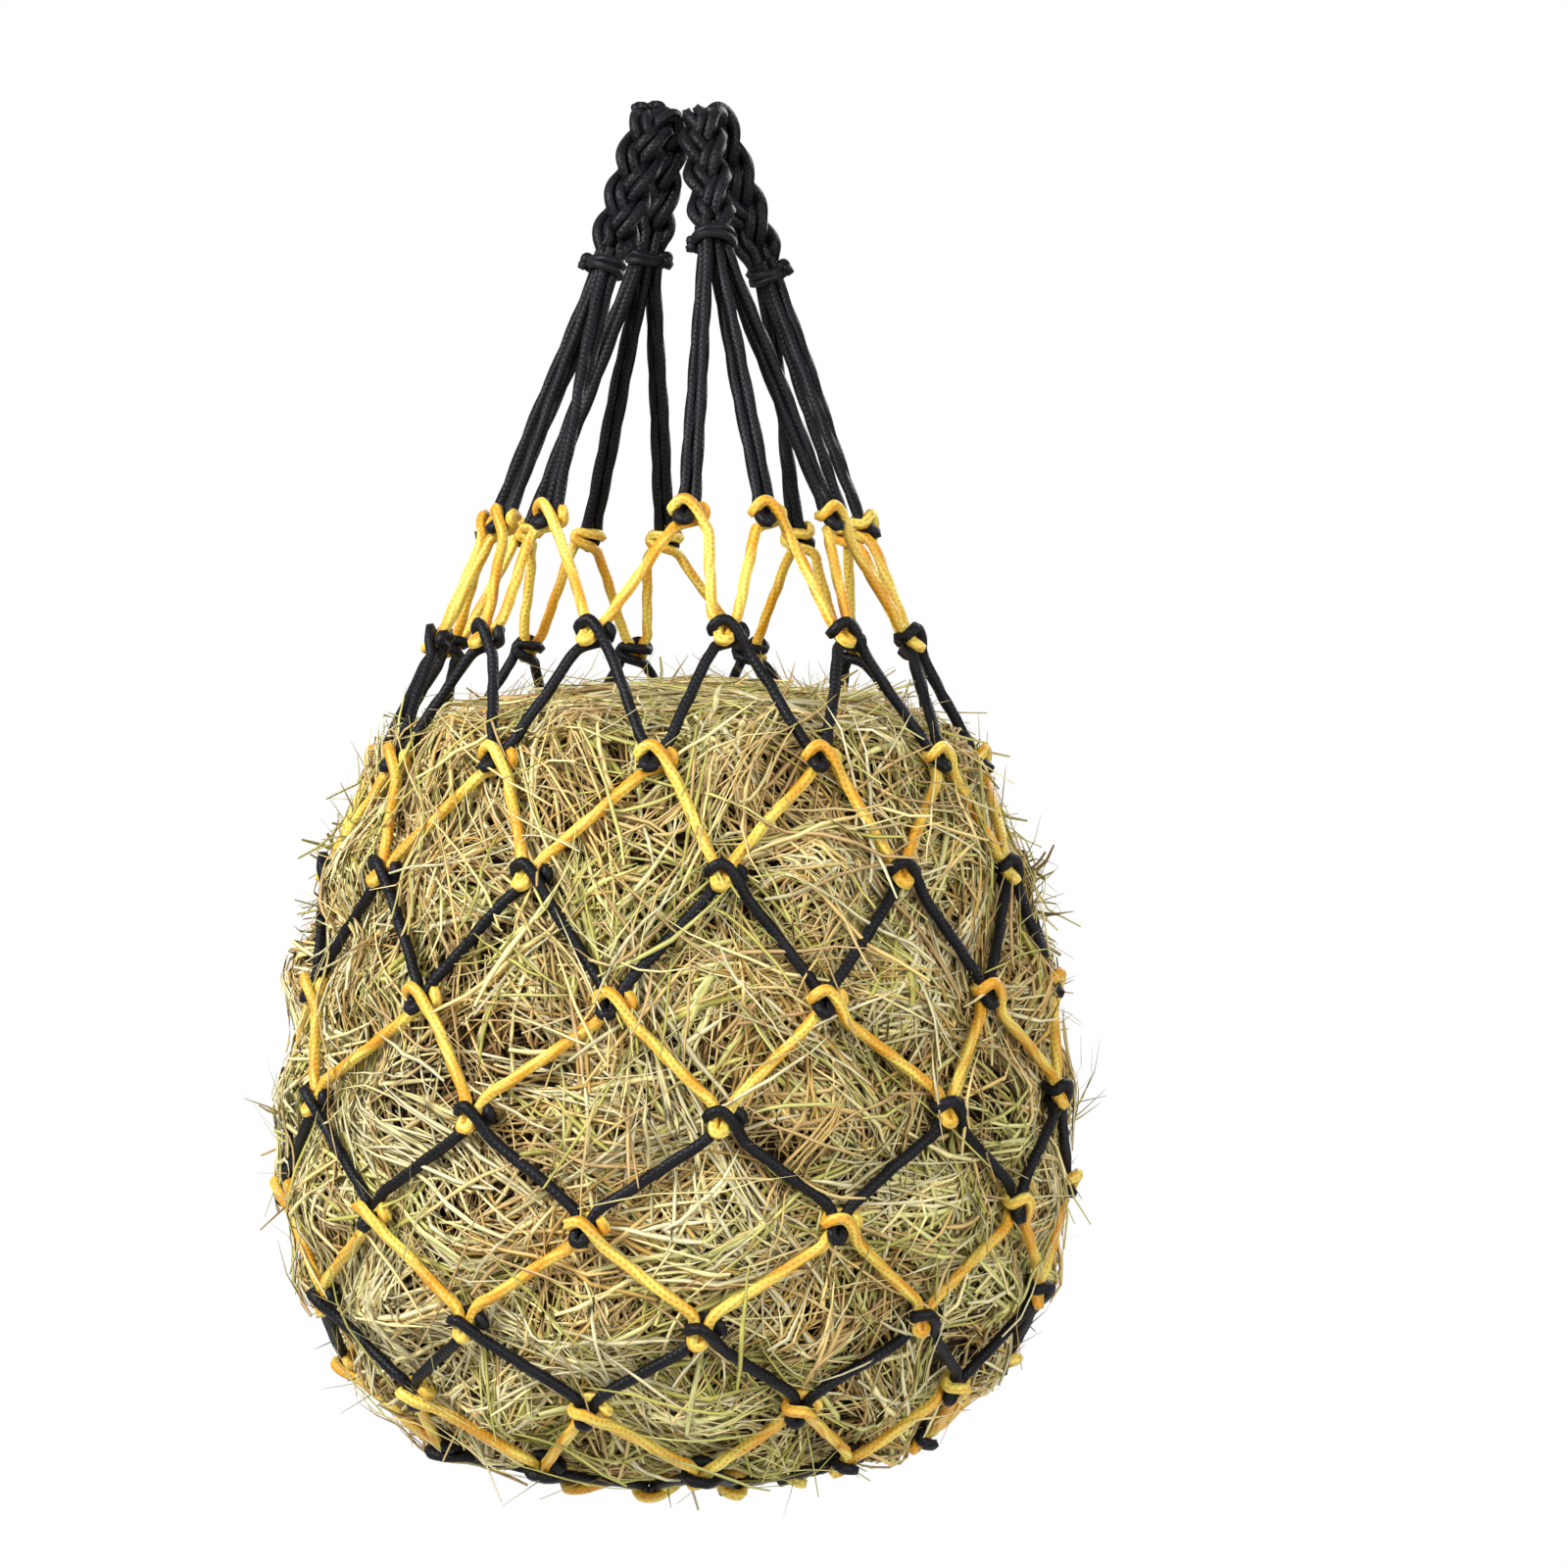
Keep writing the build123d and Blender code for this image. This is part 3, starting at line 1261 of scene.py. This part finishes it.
@dataclass(frozen=True)
class Blades:
    """One kind of hay blade.

    Attributes:
        rows: first and last row of the tint table.
        share: share of all blades.
        width: least and largest half width, in millimetres.
        length: least and largest length, in millimetres.
        lift: lowest and highest seat over the hay's surface, in millimetres.
        follow: 1 where the blades sink under the cords, 0 where they lie over them.
        wisp: blades that share a seat and a direction.
        flick: how far the ends stand off, in millimetres.
        above: lowest upward share of the seat's direction, -1 for the whole ball.
    """

    rows: tuple[int, int]
    share: float
    width: tuple[float, float]
    length: tuple[float, float]
    lift: tuple[float, float]
    follow: float = 1.0
    wisp: int = 9
    flick: float = 4.0
    above: float = -1.0


class Kind(Enum):
    """Kinds of hay blade, from the dark layer underneath, partly brown hay and partly painted
    shade, to the loose stalks outside.
    """

    # the darkest blades, sunk under the others: partly the hay's own brown, partly painted shade in
    # the gaps
    BROWN = Blades((36, 48), 0.30, (0.9, 2.3), (30, 90), (-18, -6))
    STRAW = Blades((0, 16), 0.30, (0.8, 1.8), (40, 120), (-10, 2), wisp=14)
    PALE = Blades((16, 24), 0.21, (0.9, 2.0), (35, 120), (-7, 3), wisp=18)
    GREEN = Blades((24, 36), 0.13, (0.9, 2.4), (35, 110), (-9, 2), wisp=14)
    OVER = Blades((8, 30), 0.020, (0.7, 1.5), (35, 90), (3, 6), follow=0.0, wisp=2, flick=3.0)
    LOOSE = Blades((0, 34), 0.030, (0.5, 1.1), (70, 150), (-4, 3), wisp=3, flick=28.0)
    TUFT = Blades((4, 34), 0.034, (0.7, 1.6), (50, 120), (-6, 7), 0.5, 12, flick=24.0, above=0.45)


@dataclass
class Hay:
    """The hay: a packed core and the blades on it.

    Attributes:
        middle: the point that the ball's outline is measured from.
        crown, edge: heights of the top's middle and of its rim.
        dome: how far the top has sunk half way to the rim.
        hollow: how far the bottom's middle lies over the closing cord.
        groove: how deep the hay lies under a cord.
        swell, lumps: how far it stands out in a mesh, evenly and unevenly.
        clear, cover: where it begins to swell beside a cord, and over what distance.
        sink, core_lumps: how deep the core lies, and how uneven it is.
        rounds: segments and rings of the core.
        blades, batch: how many blades there are, and the most in one piece.
        points: places along a blade.
        seat: distance of the blades' seats from the middle.
        level: how unevenly high the wisps lie.
        strays: share of the blades that leave their wisp's direction.
        fan: how far the others do, in radians.
        scatter: how far they lie from their seat, along and across.
        curl: bend and waviness of a blade, as shares of its length.
        roll, twist: how unevenly it lies on its flat side, and how it turns, in radians.
        section: corners of its section, in half widths.
        taper: its width at each of its points.
        map_run, map_row: start and extent of its map, along it and in its row.
        map_cap: step between an end's corners, and their place and step in the row.
        limit: how far from the axis a blade may reach, along X or Y.
        base: lowest place that a blade may reach.
        seed: of everything that is uneven.
    """

    middle: Tint = (0, 0, -0.565)
    crown: float = -0.337
    edge: float = -0.358
    dome: float = 0.006
    hollow: float = 0.009
    groove: float = 0.0088
    swell: float = 0.0050
    lumps: float = 0.007
    clear: float = 0.006
    cover: float = 0.028
    sink: float = 0.018
    core_lumps: float = 0.004
    rounds: tuple[int, int] = (96, 64)
    blades: int = 24500
    batch: int = 5000
    points: int = 7
    seat: float = 0.235
    level: float = 0.0015
    strays: float = 0.25
    fan: float = 0.18
    scatter: Span = (0.016, 0.010)
    curl: Span = (0.06, 0.006)
    roll: float = 0.55
    twist: float = 0.5
    section: tuple[Span, ...] = ((1, -0.12), (-1, -0.12), (0, 0.36))
    taper: tuple[float, ...] = (0.6, 0.9, 1.0, 1.0, 0.85, 0.55, 0.15)
    map_run: Span = (0.02, 0.96)
    map_row: Span = (0.1, 0.8)
    map_cap: Tint = (0.004, 0.3, 0.2)
    limit: float = 0.2625
    base: float = -0.842
    seed: int = 7

    def __post_init__(self) -> None:
        """Measure the outline and the places of the cords."""
        rim = np.interp(-self.edge, [-r[0] for r in NET.rows], [r[1] for r in NET.rows])
        outline = [(0, self.crown), (rim * 0.5, self.crown - self.dome), (rim, self.edge)]
        outline += [(r, z) for z, r, _ in NET.rows if z < self.edge]
        outline.append((0, NET.closing_height + self.hollow))
        dense = np.concatenate(
            [np.linspace(a, b, 40, endpoint=False) for a, b in zip(outline, outline[1:])]
        )
        rise = dense[:, 1] - self.middle[2]
        self.polar = np.arctan2(dense[:, 0], rise)
        self.reach = np.hypot(dense[:, 0], rise)
        samples = []
        last = len(NET.rows)
        for row in range(2, last + 1):
            for index in range(NET.knots):
                start = NET.place(row, index).translation
                if row < last:
                    below = [NET.below(row, index, side) for side in (-1, 1)]
                    ends = [NET.place(row + 1, knot).translation for knot in below]
                else:
                    turns = [NET.step * turn + NET.rows[-1][2] for turn in (index, index + 1)]
                    size = NET.closing_radius, NET.closing_height
                    ends = [NET.on_ring(size[0], turn, size[1]) for turn in turns]
                samples += [start.lerp(end, share / 16) for end in ends for share in range(17)]
        self.cords = KDTree(len(samples))
        for number, point in enumerate(samples):
            self.cords.insert(point, number)
        self.cords.balance()
        self.rng = np.random.default_rng(self.seed)

    def settle(self, points: np.ndarray, lift: np.ndarray, follow: float) -> np.ndarray:
        """Lay points on the hay's surface.

        Args:
            points: places near it.
            lift: height of each over the surface.
            follow: how much they follow the grooves under the cords.

        Returns:
            The places on the surface.
        """
        middle = np.array(self.middle)
        unit = unit_of(points - middle)
        polar = np.arccos(np.clip(unit[..., 2], -1, 1))
        base = middle + unit * np.interp(polar, self.polar, self.reach)[..., None]
        flat = base.reshape(-1, 3)
        rise = np.empty(len(flat))
        for number, point in enumerate(flat):
            gap = self.cords.find(point)[2]
            share = min(max((gap - self.clear) / self.cover, 0), 1)
            share *= share * (3 - 2 * share)
            lump = noise.noise(Vector(point) * 15) * self.lumps
            rise[number] = (share - 1) * self.groove * follow + share * (self.swell + lump)
        return base + unit * (rise.reshape(lift.shape) + lift)[..., None]

    def core(self) -> None:
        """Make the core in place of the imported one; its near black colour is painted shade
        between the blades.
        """
        bm = bmesh.new()
        around, rings = self.rounds
        bmesh.ops.create_uvsphere(bm, u_segments=around, v_segments=rings, radius=1)
        for vert in bm.verts:
            direction = Vector(vert.co).normalized()
            polar = math.acos(max(-1, min(1, direction.z)))
            reach = float(np.interp(polar, self.polar, self.reach))
            lump = noise.fractal(direction * 9, 1.0, 2.0, 3) * self.core_lumps
            vert.co = Vector(self.middle) + direction * (reach - self.sink + lump)
        mesh = bpy.data.meshes.new("hay_core")
        bm.to_mesh(mesh)
        bm.free()
        mesh.polygons.foreach_set("use_smooth", [True] * len(mesh.polygons))
        # the core's colour is painted shade in the gaps between the blades
        mesh.materials.append(MATERIALS["hay_gap_shade"])
        piece = add_piece("hay_core", mesh)
        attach(piece, "bag")
        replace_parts(piece, "hay_fill")

    def lay(self, kind: Blades, count: int) -> np.ndarray:
        """Place blades in wisps that share a seat and a direction.

        Args:
            kind: the kind of blade.
            count: how many blades.

        Returns:
            Points of every blade.
        """
        rng = self.rng
        wisps = -(-count // kind.wisp)
        unit = unit_of(rng.normal(size=(wisps, 3)))
        unit[:, 2] = np.where(unit[:, 2] < kind.above, kind.above - unit[:, 2] * 0.5, unit[:, 2])
        unit = np.repeat(unit_of(unit), kind.wisp, axis=0)[:count]
        heading = np.repeat(rng.uniform(0, math.pi, wisps), kind.wisp)[:count]
        level = np.repeat(rng.normal(0, self.level, wisps), kind.wisp)[:count]
        strays = rng.uniform(size=count) < self.strays
        heading = np.where(strays, rng.uniform(0, math.pi, count), heading)
        heading += rng.normal(0, self.fan, count)
        length = rng.uniform(*kind.length, count) * MM
        lift = rng.uniform(*kind.lift, count) * MM + level
        east = unit_of(np.cross([0, 0, 1.0], unit))
        north = np.cross(unit, east)
        along = east * np.cos(heading)[:, None] + north * np.sin(heading)[:, None]
        aside = np.cross(unit, along)
        far, near = self.scatter
        seat = np.array(self.middle) + unit * self.seat
        seat += along * rng.normal(0, far, (count, 1)) + aside * rng.normal(0, near, (count, 1))
        share = np.linspace(-0.5, 0.5, self.points)
        bend, wave = self.curl
        curl = rng.normal(0, bend, (count, 1)) * share**2 * 4
        curl += rng.normal(0, wave, (count, self.points))
        places = seat[:, None] + along[:, None] * (share * length[:, None])[..., None]
        places += aside[:, None] * (curl * length[:, None])[..., None]
        ends = rng.uniform(-0.5, 1.0, (count, 2)) * kind.flick * MM
        arch = (share**2 * 4) * np.where(share < 0, ends[:, :1], ends[:, 1:])
        return self.settle(places, lift[:, None] + arch, kind.follow)

    def tilt(self, points: np.ndarray) -> np.ndarray:
        """Find the turn about itself that lays each blade flat on the hay, unevenly.

        Args:
            points: of every blade.

        Returns:
            The turns, in radians.
        """
        run = unit_of(points[:, -1] - points[:, 0])
        out = points[:, self.points // 2] - np.array(self.middle)
        side = unit_of(np.cross(run, [0, 0, 1.0]))
        up = np.cross(side, run)
        flat = np.arctan2((out * side).sum(axis=1), (out * up).sum(axis=1))
        return flat + self.rng.normal(0, self.roll, len(points))

    def piece(self, name: str, kind: Blades, points: np.ndarray) -> None:
        """Turn blades into a piece.

        Args:
            name: the piece's name.
            kind: their kind.
            points: of every blade.
        """
        rng = self.rng
        points = np.clip(points, (-self.limit, -self.limit, self.base), (self.limit, self.limit, 0))
        width = rng.uniform(*kind.width, len(points)) * MM
        tilt = self.tilt(points)
        turn = rng.normal(0, self.twist, len(points))
        section = add_section("blade_section", self.section)
        curve = start_sweep(name, section)
        curve.twist_mode = "Z_UP"
        curve.use_fill_caps = True
        taper = np.array(self.taper)
        share = np.linspace(-0.5, 0.5, self.points)
        full = np.concatenate([points, np.ones((*points.shape[:2], 1))], axis=2)
        for number in range(len(points)):
            blade = curve.splines.new("POLY")
            blade.points.add(self.points - 1)
            blade.points.foreach_set("co", full[number].ravel())
            blade.points.foreach_set("radius", width[number] * taper)
            blade.points.foreach_set("tilt", tilt[number] + share * turn[number])
        mesh = finish_sweep(curve, section, "dry_hay")
        self.map(mesh, rng.integers(*kind.rows, len(points)))
        piece = add_piece(name, mesh)
        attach(piece, "bag")

    def map(self, mesh: bpy.types.Mesh, rows: np.ndarray) -> None:
        """Lay each blade's map in its row of the tint table, along and across.

        Args:
            mesh: the swept mesh, the ends of every blade first and then its rings.
            rows: row of the tint table of each blade.
        """
        corner = corners_of(mesh)
        around = len(self.section)
        start, extent = self.map_run
        low, height = self.map_row
        step, cap_low, cap_height = self.map_cap
        caps = 2 * around * len(rows)
        values = np.empty((len(corner), 2))
        capped = corner[:caps]
        blade = len(rows) - 1 - capped // (2 * around)
        place = capped % around
        near = capped % (2 * around) < around
        values[:caps, 0] = np.where(near, start, start + extent) + step * place
        values[:caps, 1] = (rows[blade] + cap_low + cap_height * (place % 2)) / HAY.rows
        blade, rest = np.divmod(corner[caps:].reshape(-1, 4) - caps, around * self.points)
        ring = rest // around
        place = unwrap(rest % around, around)
        values[caps:, 0] = (start + extent * ring / (self.points - 1)).ravel()
        values[caps:, 1] = ((rows[blade] + low + height * place / around) / HAY.rows).ravel()
        keep_map(mesh, values)

    def build(self) -> None:
        """Make the core and every kind of blade."""
        self.core()
        for kind in Kind:
            count = int(self.blades * kind.value.share)
            batches = -(-count // self.batch)
            for batch in range(batches):
                points = self.lay(kind.value, count // batches)
                self.piece(f"hay_{kind.name.lower()}_{batch + 1}", kind.value, points)


# ---------------------------------------------------------------- stage


@dataclass
class Studio:
    """Floor, light and camera.

    Attributes:
        turn: degrees that the camera stands round the net from its front.
        level: height that the camera looks at and from.
        aside: how far it looks past the net's axis, to the right.
        distance: from the net's axis.
        lens, sensor: focal length and sensor width, in millimetres.
        floor, floor_radius: height and radius of the floor.
        floor_tint, floor_roughness: its look.
        target: where the soft boxes point.
        boxes: name, place, size and power of each.
        glow: strength of the light from all round.
    """

    turn: float = 17.0
    level: float = -0.391
    aside: float = 0.065
    distance: float = 2.1
    lens: float = 78.7
    sensor: float = 36
    floor: float = -2.2
    floor_radius: float = 3.0
    floor_tint: Tint = (0.86, 0.86, 0.86)
    floor_roughness: float = 0.8
    target: Tint = (0, 0, -0.45)
    boxes: tuple[tuple[str, Tint, float, float], ...] = (
        ("key", (-1.3, -2.0, 0.9), 1.1, 95),
        ("fill", (1.9, -1.5, 0.0), 1.6, 34),
        ("back", (0.6, 2.2, 0.8), 1.6, 30),
    )
    glow: float = 0.45

    def build_camera(self) -> None:
        """Make the camera level with the net's middle."""
        turn = math.radians(self.turn)
        right = Vector((math.cos(turn), math.sin(turn), 0))
        back = Vector((math.sin(turn), -math.cos(turn), 0))
        camera = add_object("camera", bpy.data.cameras.new("camera"))
        camera.location = right * self.aside + back * self.distance + Vector((0, 0, self.level))
        camera.rotation_euler = (math.pi / 2, 0, turn)
        camera.data.lens = self.lens
        camera.data.sensor_width = self.sensor
        bpy.context.scene.camera = camera

    def build_floor(self) -> None:
        """Make the pale floor, well under the hanging net."""
        bm = bmesh.new()
        bmesh.ops.create_circle(bm, cap_ends=True, segments=96, radius=self.floor_radius)
        bmesh.ops.translate(bm, verts=bm.verts, vec=(0, 0, self.floor))
        mesh = bpy.data.meshes.new("floor")
        bm.to_mesh(mesh)
        bm.free()
        s = Shader("pale_floor")
        s.surface.inputs["Base Color"].default_value = (*self.floor_tint, 1)
        s.surface.inputs["Roughness"].default_value = self.floor_roughness
        mesh.materials.append(s.material)
        floor = add_object("floor", mesh)

    def build_lights(self) -> None:
        """Make the soft boxes and the white surroundings."""
        for name, place, size, power in self.boxes:
            light = bpy.data.lights.new(name, "AREA")
            light.shape, light.size, light.energy = "SQUARE", size, power
            lamp = add_object(name, light)
            lamp.location = place
            heading = Vector(self.target) - Vector(place)
            lamp.rotation_euler = heading.to_track_quat("-Z", "Y").to_euler()
        world = bpy.data.worlds.new("studio")
        world.use_nodes = True
        bpy.context.scene.world = world
        nodes, links = world.node_tree.nodes, world.node_tree.links
        background = nodes["Background"]
        background.inputs[0].default_value = (1, 1, 1, 1)
        background.inputs[1].default_value = self.glow
        white = nodes.new("ShaderNodeBackground")
        white.inputs[0].default_value = (1, 1, 1, 1)
        path, mix = nodes.new("ShaderNodeLightPath"), nodes.new("ShaderNodeMixShader")
        links.new(path.outputs["Is Camera Ray"], mix.inputs[0])
        links.new(background.outputs[0], mix.inputs[1])
        links.new(white.outputs[0], mix.inputs[2])
        links.new(mix.outputs[0], nodes["World Output"].inputs[0])
        bpy.context.scene.view_settings.view_transform = "Standard"

    def build(self) -> None:
        """Make the whole stage."""
        self.build_camera()
        self.build_floor()
        self.build_lights()


def main() -> None:
    """Build the stage, the net, its handles and the hay, in that order."""
    logging.basicConfig(level=logging.INFO, format="%(name)s: %(message)s")
    Studio().build()
    for finish in (*FINISHES.values(), HAY, GapShadeFinish()):
        MATERIALS[finish.name] = finish.material()
    for row in range(1, len(NET.rows) + 1):
        Tier(row).build()
    ClosingCord().build()
    Handle("left", -0.0111, -0.033, 0.032, -0.0080, ((11, 10, 9), (6, 7, 8)), tied=True).build()
    Handle("right", 0.0185, 0.040, 0.050, 0.0035, ((0, 1, 2), (5, 4, 3)), tied=False).build()
    Hay().build()


if __name__ == "__main__":
    main()
